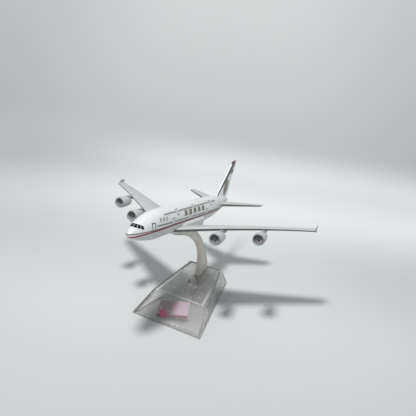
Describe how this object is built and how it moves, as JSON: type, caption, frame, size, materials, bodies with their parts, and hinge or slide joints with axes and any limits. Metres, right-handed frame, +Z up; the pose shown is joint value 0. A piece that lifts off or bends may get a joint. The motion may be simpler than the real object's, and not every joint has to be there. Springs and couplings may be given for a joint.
{
  "type": "desktop airliner model",
  "caption": "Die-cast desktop model of a double-deck four-engine airliner that lifts off a curved arm on a frosted plastic wedge stand.",
  "frame": {"origin": "on the table, under the middle of the whole model's length and wingspan", "axes": "+Z up, the nose towards -Y, the port wing towards +X"},
  "size_m": [0.1772, 0.1646, 0.1197],
  "materials": {
    "white_enamel": "gloss enamel with thin painted lines",
    "belly_grey_enamel": "gloss grey enamel",
    "wing_grey_enamel": "satin grey enamel",
    "cowl_grey_enamel": "gloss grey enamel",
    "fan_plastic": "dark moulded plastic",
    "core_metal": "dark silver paint",
    "screw_steel": "plain steel",
    "frosted_plastic": "frosted translucent grey plastic",
    "card_paper": "matte pink card"
  },
  "bodies": {
    "base": {"stand_base": "frosted_plastic", "base_card": "card_paper"},
    "arm": {"stand_arm": "frosted_plastic"},
    "aircraft": {"fuselage_upper_casting": "white_enamel", "fuselage_lower_casting": "belly_grey_enamel", "port_wing": "wing_grey_enamel", "starboard_wing": "wing_grey_enamel", "fin": "white_enamel", "port_tailplane": "wing_grey_enamel", "starboard_tailplane": "wing_grey_enamel", "engine_1_cowl": "cowl_grey_enamel", "engine_2_cowl": "cowl_grey_enamel", "engine_3_cowl": "cowl_grey_enamel", "engine_4_cowl": "cowl_grey_enamel", "engine_1_fan": "fan_plastic", "engine_2_fan": "fan_plastic", "engine_3_fan": "fan_plastic", "engine_4_fan": "fan_plastic", "engine_1_core": "core_metal", "engine_2_core": "core_metal", "engine_3_core": "core_metal", "engine_4_core": "core_metal", "engine_1_pylon": "wing_grey_enamel", "engine_2_pylon": "wing_grey_enamel", "engine_3_pylon": "wing_grey_enamel", "engine_4_pylon": "wing_grey_enamel", "shell_screws": "screw_steel"}
  },
  "joints": [
    {"name": "arm_lift", "type": "slide", "parent": "base", "child": "arm", "axis": [0, 0, 1], "range_m": [0, 0.02]},
    {"name": "aircraft_lift", "type": "slide", "parent": "arm", "child": "aircraft", "axis": [0, 0.0658, 0.9978], "range_m": [0, 0.015]}
  ]
}
